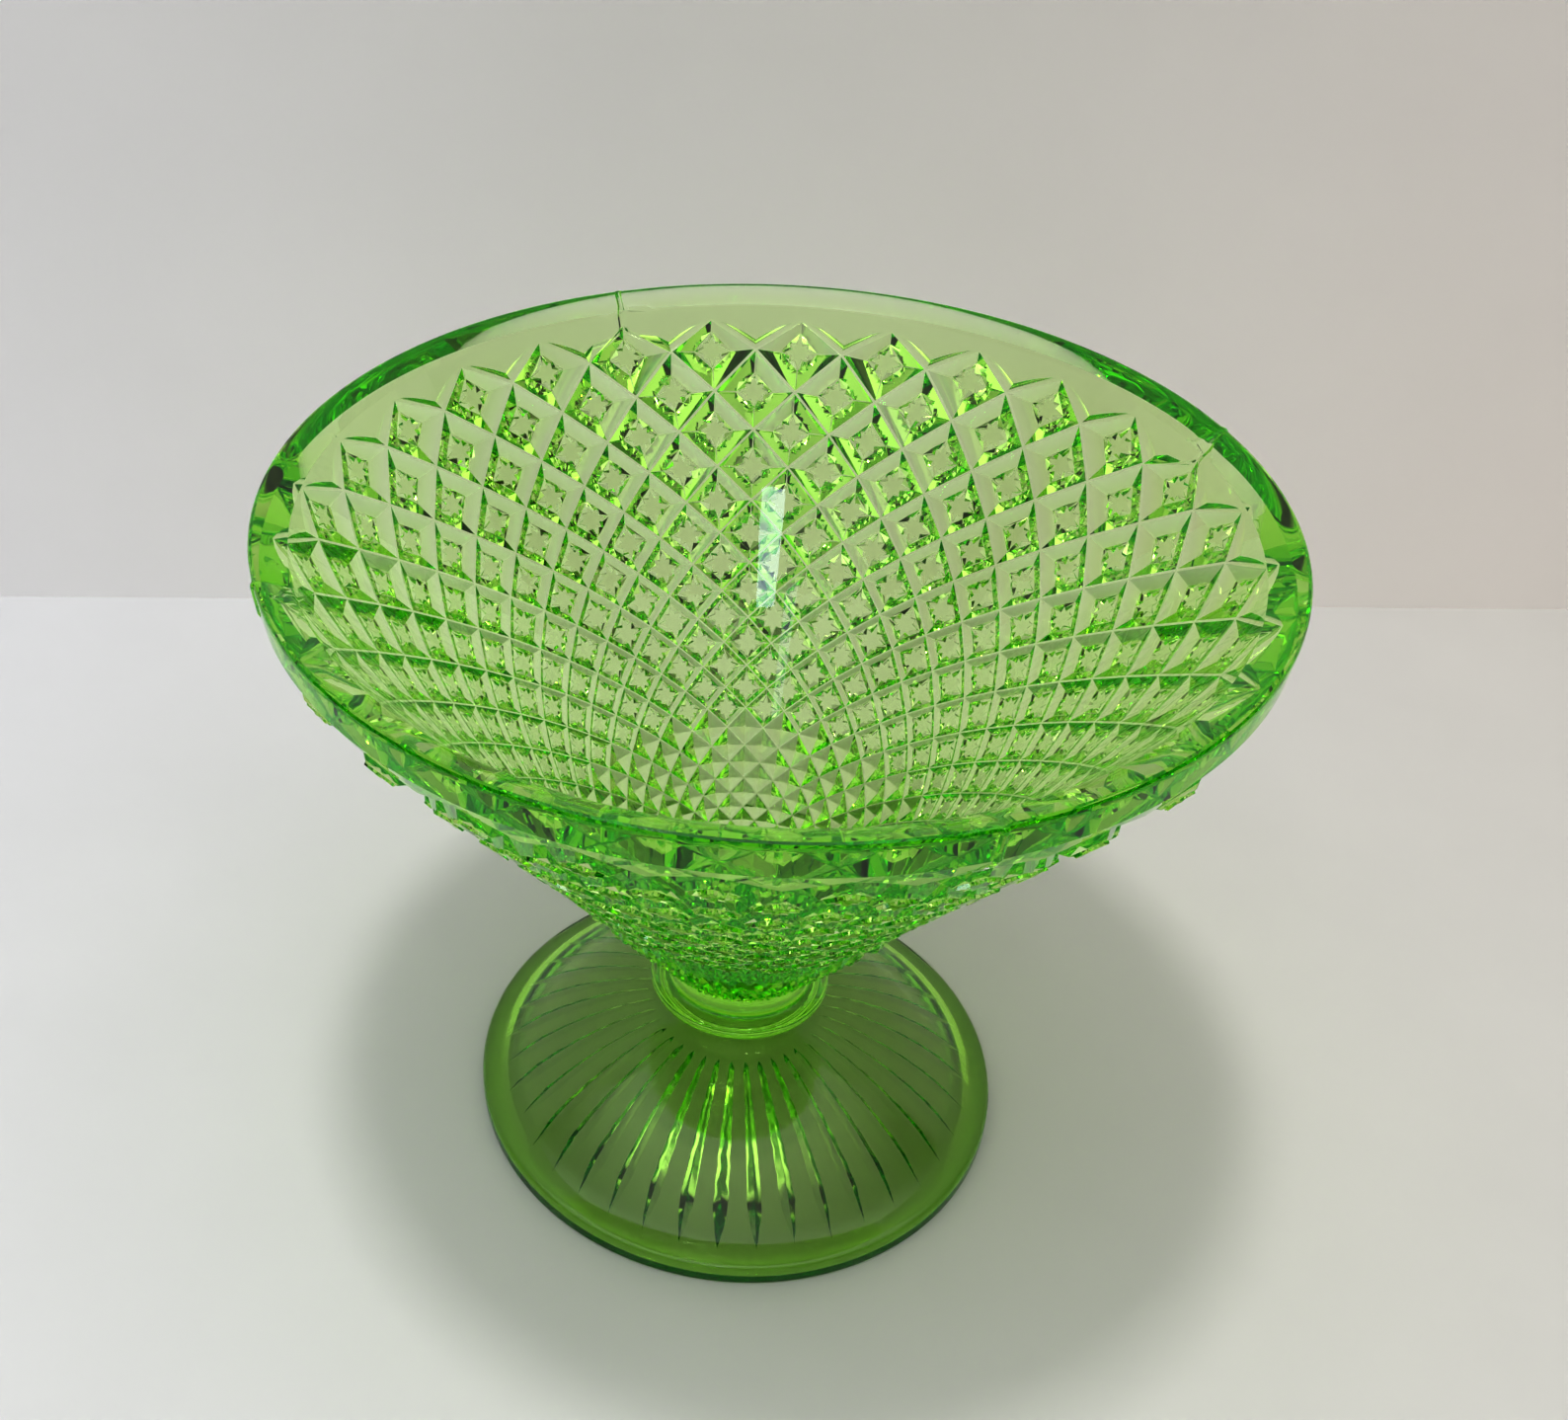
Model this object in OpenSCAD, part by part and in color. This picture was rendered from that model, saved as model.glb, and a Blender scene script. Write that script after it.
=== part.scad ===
// Footed pressed-glass dish with a hobnail pattern.
// Millimetres, +Z up, bottom centre of the foot at the origin, standing on z = 0.
// Three glass pieces joined hot: bowl, collar (wafer) and rayed foot.

/* [Overall] */
// Outside diameter of the rim
rim_diameter = 140; // [120:1:160]
// Height from the table to the top of the rim
height = 113.5; // [108:0.5:122]

/* [Bowl] */
// Height of the joint between the bowl and the collar
bowl_base_z = 28; // [27:0.5:29]
// Radius of the bowl's flat joint face
bowl_base_r = 10.6; // [10:0.1:11]
// Number of hobs around the bowl
columns = 28; // [24:4:36]
// Number of half-cell rows of grooves from the top of the pattern to its foot
rows = 27; // [20:1:27]
// How far below the rim the top row of groove crossings lies
pattern_drop = 9.7; // [9:0.1:11]
// Turn of the pattern around the bowl, angle of the first groove crossing
pattern_turn = 9.3; // [0:0.1:12.8]
// Radius of the groove floor at the top row of crossings
pattern_r = 64.4; // [62:0.1:65]
// Slope of the groove floor, radius gained for each unit of height
floor_slope = 0.707; // [0.68:0.001:0.72]
// Slope of a hob's sides, in degrees from the groove floor
hob_flank = 45; // [35:1:47]
// Half the width of a hob's flat top
hob_top = 2.1; // [1.6:0.1:2.3]
// Height of a plain pointed hob as a fraction of its radius on the bowl
point_depth = 0.036; // [0.02:0.001:0.045]
// Rows of flat-topped hobs, counted down from the top; below them are plain points
topped_rows = 13; // [4:1:14]
// Radius of the inner edge of the rim
crease_r = 64.8; // [62:0.1:66]
// Slope of the inner wall, radius gained for each unit of height
inner_slope = 0.739; // [0.72:0.001:0.76]
// Height of the inside bottom of the bowl
inner_bottom_z = 33; // [32:0.5:36]

/* [Collar] */
// Height of the joint between the collar and the foot
collar_base_z = 21.5; // [21:0.1:22]
// Radius of the collar's proud edge
collar_r = 14.5; // [13:0.1:16]
// Thickness of the collar's proud edge
collar_edge = 1.3; // [1:0.1:1.6]

/* [Foot] */
// Outside diameter of the foot
foot_diameter = 85.6; // [80:0.2:92]
// Thickness of the foot at its edge
foot_edge = 3.6; // [3:0.1:4.2]
// Radius of the neck under the collar
neck_r = 11.2; // [10.5:0.1:12]
// Width of the flat bearing ring
bearing_width = 3; // [2:0.1:3.4]
// Number of pressed rays
rays = 40; // [24:4:48]
// Turn of the rays around the foot
ray_turn = 1; // [0:0.5:8.5]
// Depth of a ray into the glass
ray_depth = 0.9; // [0.5:0.05:1.2]
// Width of a ray
ray_width = 1.7; // [1:0.1:2]

/* [Hidden] */

glass = [0.45, 0.85, 0.20, 0.6];
rim_r = rim_diameter / 2;
foot_r = foot_diameter / 2;
cell = 360 / columns;
// Each half row down, square cells on a cone shrink by the same ratio.
floor_sin = floor_slope / sqrt(1 + floor_slope * floor_slope);
floor_cos = 1 / sqrt(1 + floor_slope * floor_slope);
row_ratio = 1 - PI / columns * floor_sin * 0.95;
pattern_z = height - pattern_drop;

// Radius and height of the groove floor at half row i.
function row_r(i) = pattern_r * pow(row_ratio, i);
function row_z(i) = pattern_z - (pattern_r - row_r(i)) / floor_slope;
function around(r, a, z) = [r * cos(a), r * sin(a), z];
function turned(r, a, z) = around(r, a + pattern_turn, z);
// Groove crossing j of half row i; odd rows sit half a cell further round.
function crossing(i, j) = turned(row_r(i), cell * (j + (i % 2) / 2), row_z(i));
// Middle of the cell between crossings j and j + 1 of half row i.
function middle(i, j) = turned(row_r(i), cell * (j + (i % 2) / 2 + 0.5), row_z(i));
// Size of a hob's flat top as a fraction of its cell: every star was cut with one tool.
function top_share(i) = hob_top / (row_r(i) * sin(cell / 2));
// Height of a hob, from the run of its sides.
half_cell = sin(cell / 2) * 0.68;
function hob_height(i) = i < topped_rows
    ? tan(hob_flank) * (0.955 - top_share(i)) * half_cell * row_r(i)
    : point_depth * row_r(i);
// A point of the groove floor raised to the hob's top.
function raised(p, i) =
    p + hob_height(i)
        * [floor_cos * p[0] / norm([p[0], p[1]]), floor_cos * p[1] / norm([p[0], p[1]]), -floor_sin];

// The pattern's upper edge zigzags between notches, over the crossings, and peaks, over the hobs.
notch_r = rim_r - 2.3;
notch_z = pattern_z + 1.1;
peak_r = rim_r - 0.9;
peak_z = height - 6.5;
turn_steps = round(pattern_turn / (cell / 2));

// Rings of the plain band, rim and inside, as [radius, height], from outside to inside.
// The inner bottom's curve is an arc from the cone to a small flat.
wall_angle = atan(inner_slope);
bottom_curve_r = 9;
bottom_flat_r = (crease_r - (height - 1.3 - inner_bottom_z) * inner_slope)
    - bottom_curve_r * tan((90 - wall_angle) / 2);
inner_rings = [for (t = [0:3]) let (a = (90 - wall_angle) * (1 - t / 3))
    [bottom_flat_r + bottom_curve_r * sin(a), inner_bottom_z + bottom_curve_r * (1 - cos(a))]];
band_rings = concat(
    [[rim_r - 0.4, height - 5], [rim_r, height - 3.2], [rim_r - 0.1, height - 1.6],
     [rim_r - 0.6, height - 0.5], [rim_r - 1.6, height], [rim_r - 3.4, height - 0.35],
     [crease_r, height - 1.3]],
    inner_rings);

// Indices of the polyhedron's points, group by group.
crossings = (rows + 1) * columns;
flat_tops = topped_rows * columns;
points_at = crossings + 4 * flat_tops;
zigzag_at = points_at + (rows - topped_rows) * columns;
band_at = zigzag_at + 2 * columns;
base_at = band_at + len(band_rings) * 2 * columns;

function around_j(j) = (j + columns) % columns;
function n_i(i, j) = i * columns + around_j(j);
function top_i(i, j, k) = crossings + 4 * (i * columns + around_j(j)) + k % 4;
function tip_i(i, j) = points_at + (i - topped_rows) * columns + around_j(j);
function zig_i(m) = zigzag_at + (m + 2 * columns) % (2 * columns);
function band_i(t, m) = band_at + t * 2 * columns + (m + 2 * columns) % (2 * columns);
// The four corners of a cell, left, top, right, bottom as indices.
function corners(i, j) = [
    n_i(i, j),
    i == 0 ? zig_i(2 * j + 1) : n_i(i - 1, j + i % 2),
    n_i(i, j + 1),
    n_i(i + 1, j + i % 2)];
function corner_points(i, j) = [
    crossing(i, j),
    i == 0 ? turned(row_r(-1), cell * (j + 0.5), row_z(-1)) : crossing(i - 1, j + i % 2),
    crossing(i, j + 1),
    crossing(i + 1, j + i % 2)];

bowl_points = concat(
    [for (i = [0:rows]) for (j = [0:columns - 1]) crossing(i, j)],
    [for (i = [0:topped_rows - 1]) for (j = [0:columns - 1])
        let (c = corner_points(i, j), m = middle(i, j))
        for (k = [0:3]) raised(m + top_share(i) * (c[k] - m), i)],
    [for (i = [topped_rows:rows - 1]) for (j = [0:columns - 1]) raised(middle(i, j), i)],
    [for (m = [0:2 * columns - 1])
        m % 2 == 0 ? turned(notch_r, cell * m / 2, notch_z) : turned(peak_r, cell * m / 2, peak_z)],
    [for (ring = band_rings) for (m = [0:2 * columns - 1])
        around(ring[0], cell * (m + turn_steps) / 2, ring[1])],
    [for (j = [0:columns - 1]) turned(bowl_base_r, cell * (j + (rows % 2) / 2), bowl_base_z)]);

// A flat-topped hob: four sloping sides and a flat lozenge.
function hob_faces(i, j) = let (c = corners(i, j)) concat(
    [for (k = [0:3]) [c[k], c[(k + 1) % 4], top_i(i, j, k)]],
    [for (k = [0:3]) [c[(k + 1) % 4], top_i(i, j, k + 1), top_i(i, j, k)]],
    [[top_i(i, j, 0), top_i(i, j, 1), top_i(i, j, 2)], [top_i(i, j, 0), top_i(i, j, 2), top_i(i, j, 3)]]);
// A plain pointed hob: four sides.
function point_faces(i, j) = let (c = corners(i, j))
    [for (k = [0:3]) [c[k], c[(k + 1) % 4], tip_i(i, j)]];
// A band of quads between ring t and ring t + 1, split in two.
function ring_faces(t) = [for (m = [0:2 * columns - 1]) for (f = [0, 1])
    f == 0 ? [band_i(t, m), band_i(t + 1, m), band_i(t, m + 1)]
           : [band_i(t, m + 1), band_i(t + 1, m), band_i(t + 1, m + 1)]];

bowl_faces = concat(
    [for (i = [0:topped_rows - 1]) for (j = [0:columns - 1]) each hob_faces(i, j)],
    [for (i = [topped_rows:rows - 1]) for (j = [0:columns - 1]) each point_faces(i, j)],
    // the grooves' upper walls, up to the plain band
    [for (j = [0:columns - 1]) [n_i(0, j), zig_i(2 * j), zig_i(2 * j + 1)]],
    [for (j = [0:columns - 1]) [n_i(0, j), zig_i(2 * j - 1), zig_i(2 * j)]],
    [for (m = [0:2 * columns - 1]) [zig_i(m), band_i(0, m), zig_i(m + 1)]],
    [for (m = [0:2 * columns - 1]) [zig_i(m + 1), band_i(0, m), band_i(0, m + 1)]],
    [for (t = [0:len(band_rings) - 2]) each ring_faces(t)],
    [[for (m = [0:2 * columns - 1]) band_i(len(band_rings) - 1, -m)]],
    // from the last crossings down to the joint face
    [for (j = [0:columns - 1]) let (s = (rows - 1) % 2)
        [n_i(rows - 1, j), n_i(rows, j + s), n_i(rows, j + s - 1)]],
    [for (j = [0:columns - 1]) [n_i(rows, j), n_i(rows, j + 1), base_at + j]],
    [for (j = [0:columns - 1]) [n_i(rows, j + 1), base_at + around_j(j + 1), base_at + j]],
    [[for (j = [0:columns - 1]) base_at + j]]);

// The bowl: one pressing, hobs outside, smooth inside, rounded rim.
module bowl()
{
    color(glass)
    polyhedron(points = bowl_points, faces = bowl_faces, convexity = 12);
}

// The wafer: flares out like a cove below the bowl to a proud edge, then back in to the neck.
module collar()
{
    edge_z = collar_base_z + 1.6;
    color(glass)
    rotate_extrude($fn = 96)
    polygon(points = [
        [0, collar_base_z], [neck_r, collar_base_z], [collar_r - 0.9, edge_z - 0.35],
        [collar_r - 0.2, edge_z], [collar_r, edge_z + 0.3], [collar_r, edge_z + collar_edge - 0.3],
        [collar_r - 0.3, edge_z + collar_edge], [collar_r - 1.6, edge_z + collar_edge + 0.4],
        [collar_r - 2.8, edge_z + collar_edge + 1.2], [bowl_base_r + 0.6, edge_z + collar_edge + 2.3],
        [bowl_base_r + 0.2, bowl_base_z], [0, bowl_base_z]]);
}

// One pressed ray: a V-shaped cut along the line from [r0, z0] to [r1, z1] under the foot.
module ray_cut(r0, z0, r1, z1)
{
    run = norm([r1 - r0, z1 - z0]);
    translate([r0, 0, z0])
    rotate([0, atan2(z0 - z1, r1 - r0), 0])
    rotate([90, 0, 90])
    linear_extrude(height = run)
    polygon(points = [[-ray_width / 2 - 1, -1.2], [ray_width / 2 + 1, -1.2], [0, ray_depth]]);
}

// The foot: a dome with a short neck, hollow underneath, rayed there, on a flat bearing ring.
module foot()
{
    inner_r = foot_r - 0.6 - bearing_width;
    color(glass)
    difference()
    {
        rotate_extrude($fn = 120)
        polygon(points = [
            [0, 16.9], [6, 16.9], [15, 15.6], [21.8, 13.2], [30.4, 8.4], [inner_r - 1.6, 2.8],
            [inner_r - 0.5, 1.4], [inner_r, 0], [foot_r - 0.6, 0], [foot_r, 0.6],
            [foot_r, foot_edge - 0.9], [foot_r - 0.9, foot_edge], [foot_r - 4.4, 4.7],
            [35, 7.5], [30.4, 11.1], [25.9, 14.1], [21.8, 16.3], [18.3, 17.9], [14.5, 19.2],
            [12.2, 20.3], [neck_r, collar_base_z], [0, collar_base_z]]);

        for (k = [0:rays - 1])
        rotate([0, 0, ray_turn + k * 360 / rays])
        {
            ray_cut(15, 15.6, 21.8, 13.2);
            ray_cut(21.8, 13.2, 30.4, 8.4);
            ray_cut(30.4, 8.4, inner_r - 1.6, 2.8);
        }
    }
}

bowl();
collar();
foot();
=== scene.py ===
"""Footed pressed-glass dish: bowl with hobnail diamonds, flared collar and rayed foot, on a pale table."""

import math
import random

import bpy
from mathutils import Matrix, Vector


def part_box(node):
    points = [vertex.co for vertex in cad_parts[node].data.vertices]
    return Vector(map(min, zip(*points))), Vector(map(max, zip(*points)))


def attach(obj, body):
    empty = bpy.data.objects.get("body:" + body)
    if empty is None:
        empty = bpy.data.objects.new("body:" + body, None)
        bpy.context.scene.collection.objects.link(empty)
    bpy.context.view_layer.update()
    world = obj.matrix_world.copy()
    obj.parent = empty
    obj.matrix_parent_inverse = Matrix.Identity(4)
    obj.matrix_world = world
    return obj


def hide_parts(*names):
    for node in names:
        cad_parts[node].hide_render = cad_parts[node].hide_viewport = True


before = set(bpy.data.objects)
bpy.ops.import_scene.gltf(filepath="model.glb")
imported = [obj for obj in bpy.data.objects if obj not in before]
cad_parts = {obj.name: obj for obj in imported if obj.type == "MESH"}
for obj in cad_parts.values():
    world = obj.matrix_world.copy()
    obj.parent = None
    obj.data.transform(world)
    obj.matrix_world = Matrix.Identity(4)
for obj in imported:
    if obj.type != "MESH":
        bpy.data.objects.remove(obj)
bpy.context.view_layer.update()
MM = 0.001

# ---------------------------------------------------------------- sizes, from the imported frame
bowl_low, bowl_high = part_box("bowl")
collar_low, collar_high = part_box("collar")
foot_low, foot_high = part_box("foot")
RIM_R = (bowl_high[0] - bowl_low[0]) / 2
TOP = bowl_high[2]
SEAM = 0.03 * MM                     # a gap between pieces, so that their faces don't coincide
BOWL_BASE = bowl_low[2] + SEAM
COLLAR_R = (collar_high[0] - collar_low[0]) / 2
COLLAR_BASE = collar_low[2]
FOOT_R = (foot_high[0] - foot_low[0]) / 2

# ---------------------------------------------------------------- the pressed pattern
COLUMNS = 28                         # hobs around the bowl
ROWS = 27                            # half rows of crossing grooves
ROSETTE_ROWS = 13                    # rows of hobs with a star on top; below them come plain points
CELL = 2 * math.pi / COLUMNS
TURN = math.radians(9.3)             # where the first groove crossing sits around the bowl
FLOOR_SLOPE = 0.707                  # radius gained for each unit of height on the groove floor
FLOOR_COS = 1 / math.hypot(1, FLOOR_SLOPE)
FLOOR_SIN = FLOOR_SLOPE * FLOOR_COS
PATTERN_R = RIM_R - 5.6 * MM         # the top row of groove crossings
PATTERN_Z = TOP - 9.7 * MM
ROW_PITCH = 0.95                     # how close the half rows sit; 1 would make the cells square
ROW_RATIO = 1 - math.pi / COLUMNS * FLOOR_SIN * ROW_PITCH
GROOVE = 0.045                       # flat groove floor beside a cell, as a fraction of half the cell
WIDEST_STAR = 0.62                   # the most a star takes of its cell
STAR = 2.8 * MM                      # half the width of a hob's star, the same in every row with room for it
POINT_TIP = 0.10                     # the blunt end of a plain point, as a fraction of its cell
POINT_DEPTH = 0.050                  # height of a plain point as a fraction of its radius on the bowl
HALF_CELL = math.sin(CELL / 2) * 0.68    # from a cell's middle to its side, as a fraction of the radius
BOWL_BASE_R = 10.6 * MM

RIM_PROFILE = [                      # outside, over the top and in to the crease, from the rim's edge
    (-0.5, -5.0), (-0.27, -3.2), (-0.12, -2.0), (-0.02, -1.1), (0.0, -0.75), (-0.07, -0.4), (-0.28, -0.12),
    (-0.65, 0.0), (-1.3, -0.12), (-2.3, -0.5), (-3.5, -1.08), (-4.7, -1.75), (-5.1, -2.0), (-5.32, -2.3)]
JOINTED_RINGS = 12                   # how many of them, from the outside, carry the mould's joint lines
INNER_SLOPE = 0.739                  # radius gained for each unit of height on the smooth inside
INNER_CURVE = 3.5 * MM               # radius between the inside wall and the inside bottom
BOTTOM_GLASS = 5 * MM                # glass under the inside bottom
CREASE_R = RIM_R - 5.25 * MM
CREASE_Z = TOP - 2.2 * MM
INNER_BOTTOM = BOWL_BASE + BOTTOM_GLASS

rng = random.Random(7)


def around(r, a, z):
    return Vector((r * math.cos(a + TURN), r * math.sin(a + TURN), z))


def row_r(i):
    return PATTERN_R * ROW_RATIO ** i


def star_share(i):
    """Half the width of the star as a fraction of half the cell's width."""
    return min(WIDEST_STAR, STAR / (row_r(i) * math.sin(CELL / 2)))


def row_z(i):
    return PATTERN_Z - (PATTERN_R - row_r(i)) / FLOOR_SLOPE


def crossing(i, j):
    """Groove crossing j of half row i; odd rows sit half a cell further round."""
    return around(row_r(i), CELL * (j + (i % 2) / 2), row_z(i))


def outward(p):
    """Unit normal of the groove floor's cone at p."""
    flat = math.hypot(p.x, p.y)
    return Vector((FLOOR_COS * p.x / flat, FLOOR_COS * p.y / flat, -FLOOR_SIN))


# The plain band above the pattern: its radius at a height.
BAND = [(PATTERN_Z + 0.4 * MM, RIM_R - 3.0 * MM), (TOP - 6.4 * MM, RIM_R - 1.3 * MM),
        (TOP - 5.0 * MM, RIM_R - 0.5 * MM)]
NOTCH_Z, PEAK_Z = BAND[0][0], BAND[1][0]


def band_r(z):
    for (z0, r0), (z1, r1) in zip(BAND, BAND[1:]):
        if z <= z1:
            return r0 + (r1 - r0) * (z - z0) / (z1 - z0)
    return BAND[-1][1]


class Shell:
    """A mesh being built from points and faces."""

    def __init__(self):
        self.points = []
        self.faces = []

    def add(self, p):
        self.points.append(tuple(p))
        return len(self.points) - 1

    def face(self, *corners):
        self.faces.append(corners)

    def ring(self, r, z, steps, phase=0.0):
        return [self.add(around(r, 2 * math.pi * k / steps + phase, z)) for k in range(steps)]

    def bridge(self, low, high):
        """Quads between two rings; seen from outside the glass, high is above low."""
        n = len(low)
        for k in range(n):
            self.face(low[k], low[(k + 1) % n], high[(k + 1) % n], high[k])

    def cap(self, ring, up):
        """A fan over a ring, facing up or down."""
        centre = [sum(self.points[k][axis] for k in ring) / len(ring) for axis in range(3)]
        c = self.add(centre)
        n = len(ring)
        for k in range(n):
            a, b = ring[k], ring[(k + 1) % n]
            self.face(*((a, b, c) if up else (b, a, c)))

    def build(self, name, sharp_degrees=18):
        """The finished piece, smooth except along edges sharper than the angle."""
        mesh = bpy.data.meshes.new(name)
        mesh.from_pydata(self.points, [], self.faces)
        mesh.validate()
        mesh.polygons.foreach_set("use_smooth", [True] * len(mesh.polygons))
        mesh.set_sharp_from_angle(angle=math.radians(sharp_degrees))
        mesh.update()
        piece = bpy.data.objects.new(name, mesh)
        bpy.context.collection.objects.link(piece)
        return piece


# ---------------------------------------------------------------- bowl
SEGMENTS = COLUMNS * 8               # points around the band, rim and inside
WALL_RINGS = 12
CURVE_RINGS = 8
RIDGE = 0.04                         # how far the ridge flats spread along the shoulder
ZIGZAG_POWER = 1.4                   # above 1, the leaf between two notches is rounded at its peak
SHOULDER = 1.15                      # the shoulder's half width, as a multiple of the star's
BLUNT_PETAL = 0.88                   # how far the petals over a cell's corners reach; 1 would be square
PETAL_WEAR = 0.16                    # how much shorter than drawn a petal or a notch may be
# Reach and drop of the petals, then of the notches between them, as fractions of the shoulder and the star.
STAR_FOOT = [(1.06, 0.26), (0.74, 0.62)]
STAR_TOP = [(0.98, 0.0), (0.58, 0.0)]
SEAM_PEAKS = [COLUMNS // 4 * k for k in range(4)]   # the mould's four joints run down through these hobs
SEAM_SHIFTS = {2: (-0.50, 0.0), 3: (-0.26, 0.22), 4: (0.0, 0.30), 5: (0.26, 0.22), 6: (0.50, 0.0)}


def outer_ring(shell, profile):
    """A ring of the band or rim, with the mould's joint lines; profile(k) gives radius and height."""
    ring = []
    for k in range(SEGMENTS):
        r, z = profile(k)
        a = CELL * k / 8
        if k // 8 in SEAM_PEAKS and k % 8 in SEAM_SHIFTS:
            degrees, proud = SEAM_SHIFTS[k % 8]
            a = CELL * (k // 8 + 0.5) + math.radians(degrees)
            r += proud * MM
        ring.append(shell.add(around(r, a, z)))
    return ring


def build_bowl():
    shell = Shell()
    nodes = [[shell.add(crossing(i, j)) for j in range(COLUMNS)] for i in range(ROWS + 1)]

    # zigzag upper edge on the band: notches over the crossings, peaks over the hobs
    def zigzag_point(m):
        t = abs((m % 8) - 4) / 4                     # 1 at a notch, 0 at a peak
        z = PEAK_Z + (NOTCH_Z - PEAK_Z) * t ** ZIGZAG_POWER
        return band_r(z), z

    zigzag = outer_ring(shell, zigzag_point)

    def corner_ids(i, j):
        s = i % 2
        top = zigzag[(8 * j + 4) % SEGMENTS] if i == 0 else nodes[i - 1][(j + s) % COLUMNS]
        return [nodes[i][j % COLUMNS], top, nodes[i][(j + 1) % COLUMNS], nodes[i + 1][(j + s) % COLUMNS]]

    insets = {}
    for i in range(ROWS):
        for j in range(COLUMNS):
            ids = corner_ids(i, j)
            corners = [Vector(shell.points[k]) for k in ids]
            middle = (corners[0] + corners[2]) / 2
            radial = math.hypot(middle.x, middle.y)
            middle = Vector((middle.x * row_r(i) / radial, middle.y * row_r(i) / radial, row_z(i)))
            normal = outward(middle)
            scale = 1 - GROOVE
            inset = [shell.add(middle + (c - middle) * scale) for c in corners]
            insets[i, j] = inset
            if i == 0:
                corners[1] = crossing(-1, j)         # the cell's own corner, above the peak on the band
            share = star_share(i)
            shoulder_at = SHOULDER * share
            side = HALF_CELL * row_r(i)
            depth = (scale - share) * side if i < ROSETTE_ROWS else POINT_DEPTH * row_r(i)

            def on_outline(rho, t, rise):
                corner = int(t) % 4
                part = t - int(t)
                a, b = corners[corner] - middle, corners[(corner + 1) % 4] - middle
                return middle + (a * (1 - part) + b * part) * rho + normal * rise

            if i >= ROSETTE_ROWS:
                tip = [shell.add(on_outline(POINT_TIP, k, depth)) for k in range(4)]
                for k in range(4):
                    n = (k + 1) % 4
                    shell.face(inset[k], tip[k], tip[n], inset[n])
                shell.face(tip[3], tip[2], tip[1], tip[0])
                continue

            # slopes and ridge flats up to the shoulder
            rise = (scale - shoulder_at) * side
            shoulder = [shell.add(on_outline(shoulder_at, (k + turn) % 4, rise))
                        for k in range(4) for turn in (-RIDGE, RIDGE)]
            for k in range(4):
                n = (k + 1) % 4
                shell.face(inset[k], shoulder[2 * k], shoulder[2 * k + 1])
                shell.face(inset[k], shoulder[2 * k + 1], shoulder[2 * n], inset[n])

            # star: eight petals with notches between them, flat on top, with steep sides down to the slopes
            across = (corners[2] - corners[0]) / 2
            along = (corners[1] - corners[3]) / 2

            def petal(angle, r, drop):
                c, d = math.cos(angle), math.sin(angle)
                reach = shoulder_at * min(1 / (abs(c) + abs(d)), BLUNT_PETAL)
                wobble = 1 - rng.uniform(0.0, PETAL_WEAR)
                fall = drop * rng.uniform(0.75, 1.25) + rng.uniform(-0.03, 0.03)
                return shell.add(middle + (across * c + along * d) * reach * r * wobble
                                 + normal * (depth - fall * side * share))

            # angle pi is the left corner and falls clockwise, as the corners do
            angles = [math.pi - math.pi / 8 * q for q in range(16)]
            lower = [petal(a, *STAR_FOOT[q % 2]) for q, a in enumerate(angles)]
            upper = [petal(a, *STAR_TOP[q % 2]) for q, a in enumerate(angles)]
            centre = shell.add(middle + normal * depth)
            for k in range(4):
                left, right = shoulder[2 * k + 1], shoulder[(2 * k + 2) % 8]
                before = shoulder[2 * k]
                q = 4 * k
                p0, n1, p2, n3, p4 = (lower[(q + d) % 16] for d in range(5))
                shell.face(before, p0, left)
                shell.face(left, p0, n1)
                shell.face(left, n1, p2)
                shell.face(left, p2, right)
                shell.face(right, p2, n3)
                shell.face(right, n3, p4)
            for q in range(16):
                n = (q + 1) % 16
                shell.face(lower[q], upper[q], upper[n], lower[n])
                shell.face(upper[q], centre, upper[n])

    # flat groove floors: one strip along each groove stretch
    def inset_of(i, j, k):
        return insets[i, j % COLUMNS][k]

    for i in range(ROWS):
        for j in range(COLUMNS):
            s = i % 2
            left, top, right, bottom = corner_ids(i, j)
            c0, c1, c2, c3 = insets[i, j]
            if i == 0:
                shell.face(c0, c1, top, left)
                shell.face(c1, c2, right, top)
            else:
                shell.face(c0, c1, inset_of(i - 1, j + s - 1, 2), inset_of(i - 1, j + s - 1, 3))
                shell.face(c1, c2, inset_of(i - 1, j + s, 3), inset_of(i - 1, j + s, 0))
            if i == ROWS - 1:
                shell.face(c3, c0, left, bottom)
                shell.face(c2, c3, bottom, right)

    # where the grooves cross: a small lozenge around each crossing
    for i in range(ROWS):
        for j in range(COLUMNS):
            centre = nodes[i][j]
            above_j = j - (i + 1) % 2
            right, left = inset_of(i, j, 0), inset_of(i, j - 1, 2)
            if i > 0:
                above = inset_of(i - 1, above_j, 3)
                shell.face(right, above, centre)
                shell.face(above, left, centre)
            if i < ROWS - 1:
                below = inset_of(i + 1, above_j, 1)
                shell.face(left, below, centre)
                shell.face(below, right, centre)

    # the top grooves' upper walls, rising to the band
    for j in range(COLUMNS):
        for m in range(8 * j - 4, 8 * j + 4):    # eight steps of the zigzag belong to each crossing
            shell.face(nodes[0][j], zigzag[(m + 1) % SEGMENTS], zigzag[m % SEGMENTS])

    # band, rim and inside
    last = zigzag
    for n, (dr, dz) in enumerate(RIM_PROFILE):
        r, z = RIM_R + dr * MM, TOP + dz * MM
        if n < JOINTED_RINGS:
            ring = outer_ring(shell, lambda k, r=r, z=z: (r, z))
        else:
            ring = shell.ring(r, z, SEGMENTS)
        shell.bridge(last, ring)
        last = ring
    bend = math.pi / 2 - math.atan(INNER_SLOPE)
    flat = CREASE_R - (CREASE_Z - INNER_BOTTOM) * INNER_SLOPE - INNER_CURVE * math.tan(bend / 2)
    start = RIM_R + RIM_PROFILE[-1][0] * MM, TOP + RIM_PROFILE[-1][1] * MM

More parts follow.
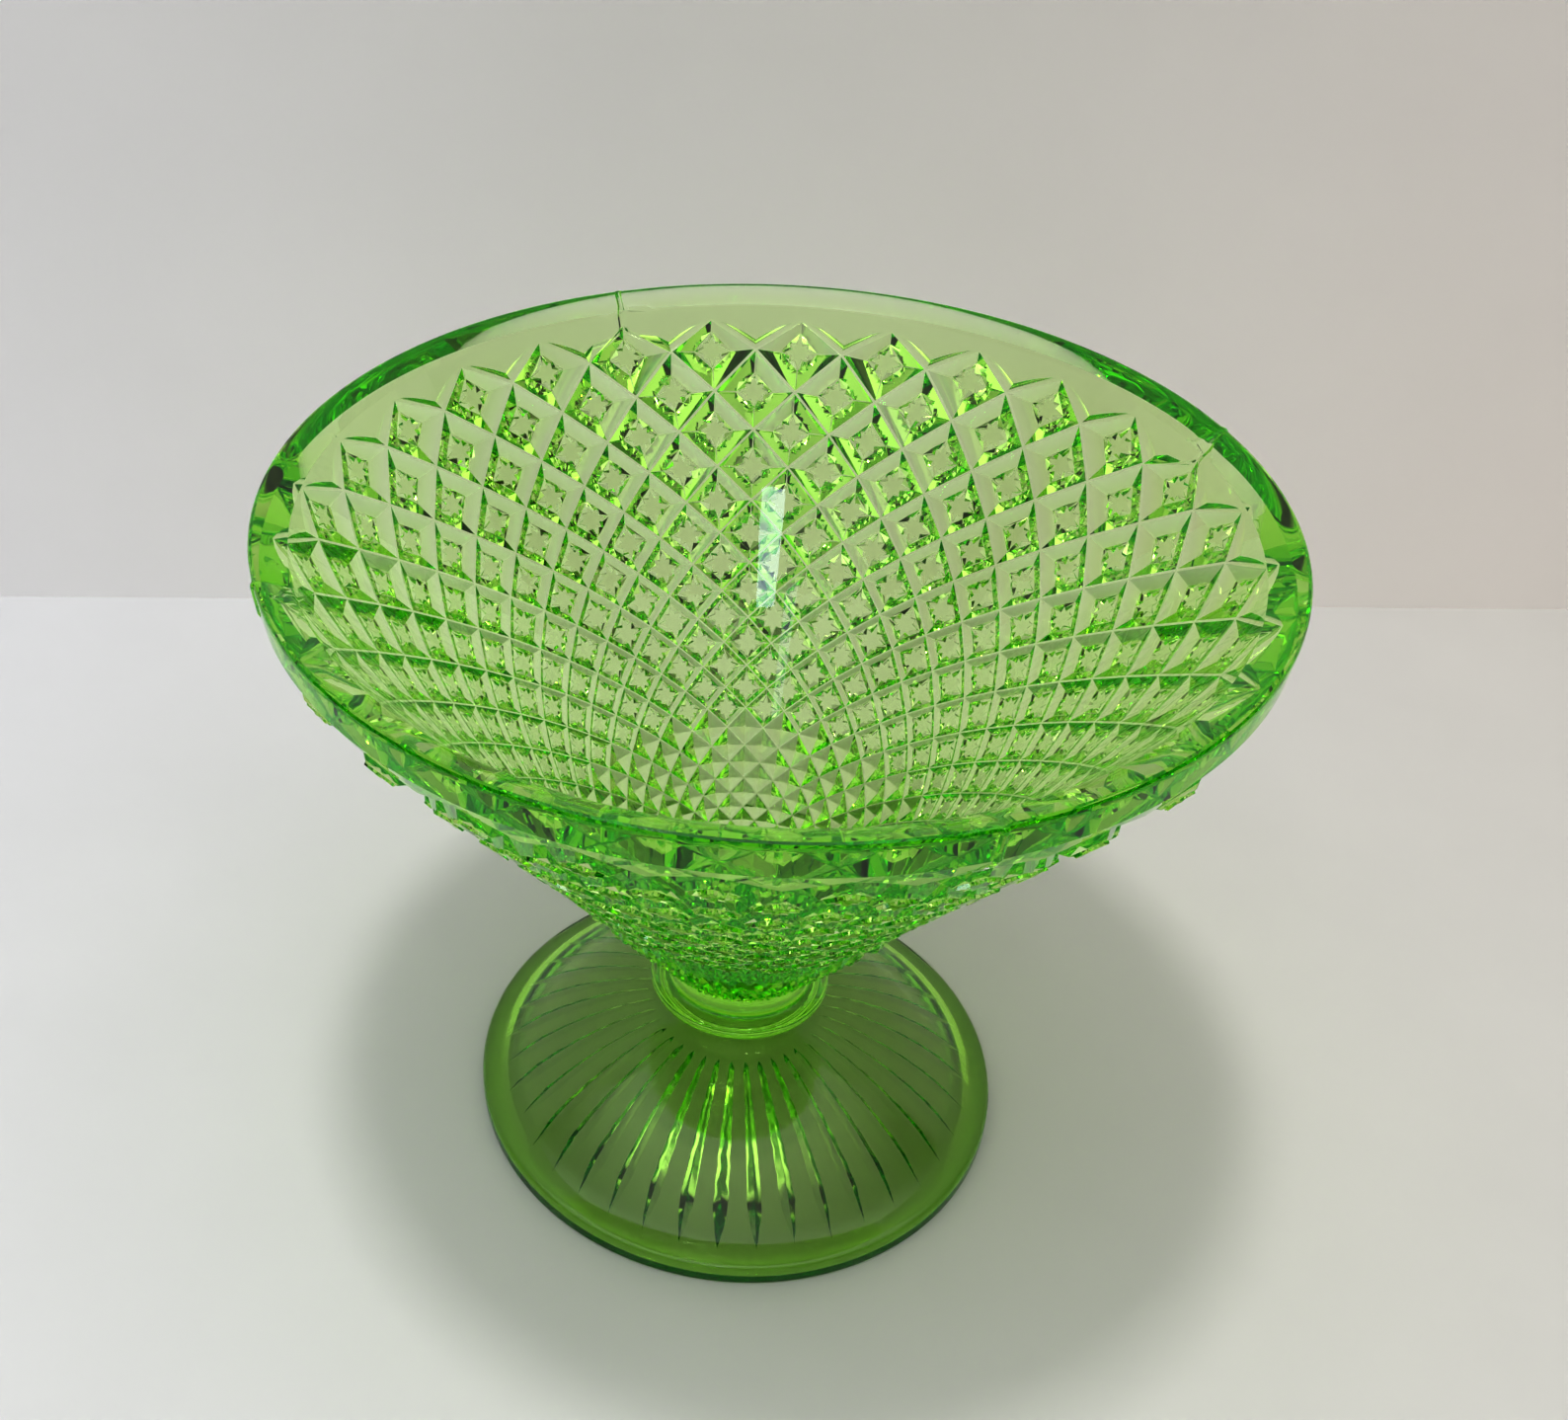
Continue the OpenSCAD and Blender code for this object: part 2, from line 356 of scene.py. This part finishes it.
    def inner_curve(a):
        return flat + INNER_CURVE * math.sin(a), INNER_BOTTOM + INNER_CURVE * (1 - math.cos(a))

    end = inner_curve(bend)
    wall = [[a + (b - a) * k / WALL_RINGS for a, b in zip(start, end)] for k in range(1, WALL_RINGS + 1)]
    for r, z in wall + [inner_curve(bend * (1 - k / CURVE_RINGS)) for k in range(1, CURVE_RINGS + 1)]:
        ring = shell.ring(r, z, SEGMENTS)
        shell.bridge(last, ring)
        last = ring
    shell.cap(last, up=True)

    # from the last crossings down to the joint
    s = (ROWS - 1) % 2
    for j in range(COLUMNS):
        shell.face(nodes[ROWS - 1][j], nodes[ROWS][(j + s - 1) % COLUMNS], nodes[ROWS][(j + s) % COLUMNS])
    base = shell.ring(BOWL_BASE_R, BOWL_BASE, COLUMNS, CELL * (ROWS % 2) / 2)
    shell.bridge(base, nodes[ROWS])
    shell.cap(base, up=False)
    return shell.build("bowl_glass")


# ---------------------------------------------------------------- turned pieces
def smooth_line(points, steps=4):
    """A Catmull-Rom curve through (radius, height) points, in mm."""
    out = []
    for k in range(len(points) - 1):
        p0 = points[max(k - 1, 0)]
        p1, p2 = points[k], points[k + 1]
        p3 = points[min(k + 2, len(points) - 1)]
        for n in range(steps):
            t = n / steps
            out.append(tuple(
                0.5 * (2 * b + (c - a) * t + (2 * a - 5 * b + 4 * c - d) * t ** 2
                       + (3 * b - a - 3 * c + d) * t ** 3)
                for a, b, c, d in zip(p0, p1, p2, p3)))
    out.append(points[-1])
    return out


COLLAR_SEGMENTS = 192
COLLAR_EDGE = 1.6                    # height of the edge's widest part above the collar's base, in mm
COLLAR_SEAT_R = 11.2                 # where the collar's underside meets the foot's neck, in mm


def build_collar():
    """The wafer between bowl and foot: a cove that flares down to a proud rounded edge."""
    edge = COLLAR_BASE / MM + COLLAR_EDGE
    r = COLLAR_R / MM
    base = (COLLAR_BASE + SEAM) / MM
    top = (BOWL_BASE - 2 * SEAM) / MM
    under = smooth_line([(COLLAR_SEAT_R, base), (r - 2.2, edge - 0.75), (r - 0.9, edge - 0.3),
                         (r - 0.2, edge)], 3)
    side = smooth_line([(r - 0.2, edge), (r, edge + 0.3), (r, edge + 1.0), (r - 0.3, edge + 1.3)], 3)
    cove = smooth_line([(r - 0.3, edge + 1.3), (r - 1.4, edge + 1.55), (r - 2.7, edge + 2.3),
                        (BOWL_BASE_R / MM + 0.6, edge + 3.6), (BOWL_BASE_R / MM + 0.2, top)], 4)
    shell = Shell()
    outline = under + side[1:] + cove[1:]
    rings = [shell.ring(radius * MM, height * MM, COLLAR_SEGMENTS) for radius, height in outline]
    for low, high in zip(rings, rings[1:]):
        shell.bridge(low, high)
    shell.cap(rings[-1], up=True)
    shell.cap(rings[0], up=False)
    return shell.build("collar_glass", 35)


# ---------------------------------------------------------------- foot
# In mm, for a foot of FOOT_DRAWN_R by FOOT_DRAWN_TOP; build_foot scales all of it to the frame's foot.
FOOT_DRAWN_R = 42.8
FOOT_DRAWN_TOP = 21.5
RAYS = 40
RAY_TURN = math.radians(0.97)
RAY_TIP = 37.6                       # where the rays end, near the foot's edge
RAY_START = 13.2                     # and where they begin, near its middle
RAY_POINT = 4.5                      # length of a ray's pointed end
RAY_NARROW = 0.34                    # half the width where a ray begins
RAY_WIDENS = 0.72                    # and how much wider it gets over RAY_GROWS
RAY_GROWS = 20.0
RAY_EDGE = 0.5                       # flat glass kept beside each ray
RAY_DEPTH = 1.45                     # depth of a ray for each unit of its half width
RAY_CLOSED = 0.03                    # half the width where a ray has run out
FOOT_EDGE = [(42.2, 0.0), (42.55, 0.1), (42.75, 0.35), (42.8, 0.8), (42.8, 2.1)]
HOLLOW_TOP = [(12.0, 16.15), (9.0, 16.5), (6.0, 16.75), (3.0, 16.87)]
FOOT_TOP = [(42.75, 2.7), (42.55, 3.2), (42.0, 3.6), (40.4, 4.05), (38.4, 4.85), (35.0, 7.5),
            (30.4, 11.1), (25.9, 14.1), (21.8, 16.3), (18.3, 17.9), (14.5, 19.2), (12.3, 20.2),
            (11.35, 21.0), (11.2, 21.5)]
FOOT_UNDER = [(40.4, 0.0), (39.8, 0.15), (38.9, 0.7), (37.6, 1.8), (34.6, 4.6), (30.6, 7.9), (26.2, 10.8),
              (21.8, 13.1), (18.0, 14.7), (15.0, 15.6), (13.2, 16.0)]


def ray_half_width(r, length, girth):
    """Half the width of a ray at radius r: pointed at its tip, broadest near it, narrow at the middle."""
    tip = RAY_TIP + length
    if r >= tip or r <= RAY_START:
        return RAY_CLOSED
    pointed = min(1.0, (tip - r) / RAY_POINT) ** 0.8
    broad = RAY_NARROW + RAY_WIDENS * min(1.0, (r - RAY_START) / RAY_GROWS)
    return max(RAY_CLOSED, girth * broad * pointed * min(1.0, r - RAY_START))


def build_foot():
    k_r = FOOT_R / FOOT_DRAWN_R
    k_z = (foot_high[2] - SEAM) / FOOT_DRAWN_TOP
    columns = 6
    steps = RAYS * columns
    shell = Shell()
    lengths = [rng.uniform(-0.45, 0.45) for _ in range(RAYS)]
    girths = [rng.uniform(0.85, 1.15) for _ in range(RAYS)]

    def place(r, a, z):
        return shell.add(Vector((r * k_r * math.cos(a), r * k_r * math.sin(a), z * k_z)))

    def ring(r, z):
        return [place(r, RAY_TURN + 2 * math.pi * (k - 0.5 * columns) / steps, z) for k in range(steps)]

    # outside: bearing ring, edge, dome and neck
    bearing_outer, *outside = [ring(r, z) for r, z in FOOT_EDGE + smooth_line(FOOT_TOP, 3)]
    last = bearing_outer
    for new in outside:
        shell.bridge(last, new)
        last = new
    shell.cap(last, up=True)

    # underside: bearing ring, inner lip, and the rayed dome up to its middle
    last = bearing_outer
    for r, z in smooth_line(FOOT_UNDER, 4):
        new = []
        for k in range(RAYS):
            middle = RAY_TURN + 2 * math.pi * k / RAYS
            half = ray_half_width(r, lengths[k], girths[k])
            wander = 0.05 * math.sin(r * 1.9 + k * 2.3) + 0.04 * math.sin(r * 3.7 + k)
            if half < 0.05:
                wander = 0
            offsets = [-math.pi * r / RAYS, -half - RAY_EDGE, -half + wander, 0.4 * wander, half + wander,
                       half + RAY_EDGE]
            depths = [0, 0, 0, RAY_DEPTH * half if half > 0.031 else 0, 0, 0]
            new += [place(r, middle + off / r, z + deep) for off, deep in zip(offsets, depths)]
        shell.bridge(new, last)
        last = new
    for r, z in HOLLOW_TOP:
        new = ring(r, z)
        shell.bridge(new, last)
        last = new
    shell.cap(last, up=False)
    return shell.build("foot_glass", 22)


# ---------------------------------------------------------------- materials
def material(name):
    mat = bpy.data.materials.new(name)
    mat.use_nodes = True
    nodes, links = mat.node_tree.nodes, mat.node_tree.links
    nodes.clear()
    return mat, nodes, links


def glass(name, roughness, bump, bump_scale, tint, density, satin=0.0):
    """Yellowish-green glass whose colour comes from its thickness, with a fire-polished ripple."""
    mat, nodes, links = material(name)
    out = nodes.new("ShaderNodeOutputMaterial")
    bsdf = nodes.new("ShaderNodeBsdfPrincipled")
    bsdf.inputs["Base Color"].default_value = tint
    bsdf.inputs["IOR"].default_value = 1.51
    bsdf.inputs["Transmission Weight"].default_value = 1.0
    coords = nodes.new("ShaderNodeTexCoord")
    ripple = nodes.new("ShaderNodeTexNoise")
    ripple.inputs["Scale"].default_value = bump_scale
    ripple.inputs["Detail"].default_value = 3.0
    links.new(coords.outputs["Object"], ripple.inputs["Vector"])
    normal = nodes.new("ShaderNodeBump")
    normal.inputs["Strength"].default_value = bump
    normal.inputs["Distance"].default_value = 0.0004
    links.new(ripple.outputs["Fac"], normal.inputs["Height"])
    links.new(normal.outputs["Normal"], bsdf.inputs["Normal"])
    mottle = nodes.new("ShaderNodeTexNoise")
    mottle.inputs["Scale"].default_value = 90.0
    mottle.inputs["Detail"].default_value = 4.0
    links.new(coords.outputs["Object"], mottle.inputs["Vector"])
    ramp = nodes.new("ShaderNodeMapRange")
    ramp.inputs["From Min"].default_value = 0.35
    ramp.inputs["From Max"].default_value = 0.75
    ramp.inputs["To Min"].default_value = roughness
    ramp.inputs["To Max"].default_value = roughness + satin
    links.new(mottle.outputs["Fac"], ramp.inputs["Value"])
    links.new(ramp.outputs["Result"], bsdf.inputs["Roughness"])
    links.new(bsdf.outputs["BSDF"], out.inputs["Surface"])
    body = nodes.new("ShaderNodeVolumeAbsorption")
    body.inputs["Color"].default_value = (0.61, 0.93, 0.0, 1.0)
    body.inputs["Density"].default_value = density
    links.new(body.outputs["Volume"], out.inputs["Volume"])
    return mat


def paper(name, left, right, bump, painted_glow=0.0):
    """Matt paper or paint with painted light: lighter and bluish at the left, darker and warmer at the
    right, as if lit from the left; the last argument makes it glow a little, painted light from a sheet that
    is no lamp.

    Only its front shows, so that the dish can be looked at from behind the backdrop too.
    """
    mat, nodes, links = material(name)
    out = nodes.new("ShaderNodeOutputMaterial")
    bsdf = nodes.new("ShaderNodeBsdfPrincipled")
    bsdf.inputs["Roughness"].default_value = 0.75
    bsdf.inputs["Specular IOR Level"].default_value = 0.3
    coords = nodes.new("ShaderNodeTexCoord")
    noise = nodes.new("ShaderNodeTexNoise")
    noise.inputs["Scale"].default_value = 22.0
    noise.inputs["Detail"].default_value = 5.0
    links.new(coords.outputs["Object"], noise.inputs["Vector"])
    mix = nodes.new("ShaderNodeMix")
    mix.data_type = "RGBA"
    mix.blend_type = "MULTIPLY"
    mix.inputs["B"].default_value = (0.93, 0.93, 0.93, 1.0)
    links.new(noise.outputs["Fac"], mix.inputs["Factor"])
    links.new(mix.outputs["Result"], bsdf.inputs["Base Color"])
    split = nodes.new("ShaderNodeSeparateXYZ")
    links.new(coords.outputs["Object"], split.inputs["Vector"])
    across = nodes.new("ShaderNodeMapRange")
    across.inputs["From Min"].default_value = -0.25
    across.inputs["From Max"].default_value = 0.25
    links.new(split.outputs["X"], across.inputs["Value"])
    # painted light: the colour runs from the lighter, bluish left to the darker, warmer right, as the room's
    # light falls off across the sheet
    sides = nodes.new("ShaderNodeMix")
    sides.data_type = "RGBA"
    sides.inputs["A"].default_value = left
    sides.inputs["B"].default_value = right
    links.new(across.outputs["Result"], sides.inputs["Factor"])
    links.new(sides.outputs["Result"], mix.inputs["A"])
    # painted light: a faint glow that brightens the sheet, though it is no lamp
    bsdf.inputs["Emission Color"].default_value = (1.0, 0.985, 0.96, 1.0)
    bsdf.inputs["Emission Strength"].default_value = painted_glow
    facing = nodes.new("ShaderNodeNewGeometry")
    clear = nodes.new("ShaderNodeBsdfTransparent")
    front = nodes.new("ShaderNodeMixShader")
    links.new(facing.outputs["Backfacing"], front.inputs["Fac"])
    links.new(bsdf.outputs["BSDF"], front.inputs[1])
    links.new(clear.outputs["BSDF"], front.inputs[2])
    normal = nodes.new("ShaderNodeBump")
    normal.inputs["Strength"].default_value = bump
    normal.inputs["Distance"].default_value = 0.001
    links.new(noise.outputs["Fac"], normal.inputs["Height"])
    links.new(normal.outputs["Normal"], bsdf.inputs["Normal"])
    links.new(front.outputs["Shader"], out.inputs["Surface"])
    return mat


# ---------------------------------------------------------------- the dish
CLEAR = (1.0, 1.0, 1.0, 1.0)
bowl = build_bowl()
bowl.data.materials.append(glass("bowl_glass", 0.0, 0.10, 60.0, CLEAR, 104.0))
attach(bowl, "root")
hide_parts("bowl")

collar = build_collar()
collar.data.materials.append(glass("collar_glass", 0.0, 0.10, 80.0, CLEAR, 90.0))
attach(collar, "root")
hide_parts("collar")

foot = build_foot()
# The foot's absorption is about 2.4 times the bowl's, though it is the same glass: painted shade, for the
# deeper green of the foot lit through itself in the bowl's shadow.
foot.data.materials.append(glass("foot_glass", 0.03, 0.25, 120.0, CLEAR, 250.0, 0.10))
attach(foot, "root")
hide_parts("foot")


# ---------------------------------------------------------------- table and backdrop
def sheet(name, corners, mat):
    mesh = bpy.data.meshes.new(name)
    mesh.from_pydata(corners, [], [(0, 1, 2, 3)])
    obj = bpy.data.objects.new(name, mesh)
    bpy.context.collection.objects.link(obj)
    mesh.materials.append(mat)


WALL_Y = 2.04 * RIM_R
WALL_LEAN = -0.03                    # how far the wall turns from square to the view
WIDE = 14 * RIM_R
WALL_FOOT = -0.02                    # the wall starts a little below the table
LEFT_Y, RIGHT_Y = WALL_Y - WALL_LEAN * WIDE, WALL_Y + WALL_LEAN * WIDE
# Painted light on both sheets: each is lighter and bluish at the left, darker and warmer at the right; the
# backdrop also gets a painted glow of 0.12, though it is no lamp.
sheet("table",
      [(-WIDE, -WIDE, -SEAM), (WIDE, -WIDE, -SEAM), (WIDE, WIDE, -SEAM), (-WIDE, WIDE, -SEAM)],
      paper("table_paper", (0.73, 0.735, 0.765, 1.0), (0.64, 0.625, 0.60, 1.0), 0.25))
sheet("backdrop",
      [(-WIDE, LEFT_Y, WALL_FOOT), (WIDE, RIGHT_Y, WALL_FOOT), (WIDE, RIGHT_Y, WIDE), (-WIDE, LEFT_Y, WIDE)],
      paper("backdrop_paint", (0.95, 0.945, 0.97, 1.0), (0.93, 0.865, 0.82, 1.0), 0.05, 0.12))


# ---------------------------------------------------------------- light
def area(name, place, target, size_x, size_y, watts, colour):
    data = bpy.data.lights.new(name, "AREA")
    data.shape = "RECTANGLE"
    data.size, data.size_y = size_x, size_y
    data.energy = watts
    data.color = colour
    obj = bpy.data.objects.new(name, data)
    obj.location = place
    obj.rotation_euler = (Vector(target) - Vector(place)).to_track_quat("-Z", "Y").to_euler()
    bpy.context.collection.objects.link(obj)
    return obj


area("ceiling", (-0.09, -0.06, 1.15), (0, 0, 0), 0.13, 0.13, 4.1, (1.0, 0.985, 0.955))
for pane, place, size, watts in (("window", (-0.14, -0.95, 0.94), (0.16, 0.10), 0.42),
                                 ("far_window", (-0.36, -0.95, 0.86), (0.10, 0.12), 0.10)):
    lamp = area(pane, place, (0, 0, 0.07), size[0], size[1], watts, (0.66, 0.84, 1.0))
    lamp.visible_transmission = False

world = bpy.data.worlds.new("room")
bpy.context.scene.world = world
world.use_nodes = True
world_nodes, world_links = world.node_tree.nodes, world.node_tree.links
world_nodes.clear()
world_out = world_nodes.new("ShaderNodeOutputWorld")
sky = world_nodes.new("ShaderNodeBackground")
coords = world_nodes.new("ShaderNodeTexCoord")
direction = world_nodes.new("ShaderNodeSeparateXYZ")
world_links.new(coords.outputs["Generated"], direction.inputs["Vector"])


def spread(axis, low_at, high_at, low_value, high_value):
    """A value that changes evenly along one axis of the room."""
    node = world_nodes.new("ShaderNodeMapRange")
    node.inputs["From Min"].default_value = low_at
    node.inputs["From Max"].default_value = high_at
    node.inputs["To Min"].default_value = low_value
    node.inputs["To Max"].default_value = high_value
    world_links.new(direction.outputs[axis], node.inputs["Value"])
    return node.outputs["Result"]


strength = world_nodes.new("ShaderNodeMath")
strength.operation = "MULTIPLY"
world_links.new(spread("Z", 0.45, 0.9, 0.03, 1.8), strength.inputs[0])
world_links.new(spread("X", -1.0, 1.0, 1.2, 0.8), strength.inputs[1])
world_links.new(strength.outputs["Value"], sky.inputs["Strength"])
tint = world_nodes.new("ShaderNodeMix")
tint.data_type = "RGBA"
tint.inputs["A"].default_value = (0.93, 0.975, 1.0, 1.0)
tint.inputs["B"].default_value = (1.0, 0.96, 0.90, 1.0)
world_links.new(spread("X", -1.0, 1.0, 0.0, 1.0), tint.inputs["Factor"])
world_links.new(tint.outputs["Result"], sky.inputs["Color"])
world_links.new(sky.outputs["Background"], world_out.inputs["Surface"])

# ---------------------------------------------------------------- camera
CAMERA_AT = Vector((-0.374, -3.044, 3.451)) * RIM_R
ELEVATION = math.radians(35.995)
ROLL = math.radians(-0.49)
camera_data = bpy.data.cameras.new("view")
camera_data.sensor_width = 36
camera_data.lens = 42.04
camera_data.shift_x = 0.132
camera_data.shift_y = -0.031
camera_data.clip_start = 0.01
camera = bpy.data.objects.new("view", camera_data)
camera.location = CAMERA_AT
back = Vector((0, -math.cos(ELEVATION), math.sin(ELEVATION)))
look = (-back).to_track_quat("-Z", "Y")
camera.rotation_euler = (look.to_matrix().to_4x4()).to_euler()
camera.rotation_euler.rotate_axis("Z", ROLL)
bpy.context.collection.objects.link(camera)
bpy.context.scene.camera = camera

# ---------------------------------------------------------------- light paths and tone
scene = bpy.context.scene
scene.cycles.max_bounces = 18
scene.cycles.transmission_bounces = 18
scene.cycles.glossy_bounces = 12
scene.cycles.transparent_max_bounces = 8
scene.view_settings.view_transform = "Standard"
scene.view_settings.gamma = 0.72

bpy.context.view_layer.update()
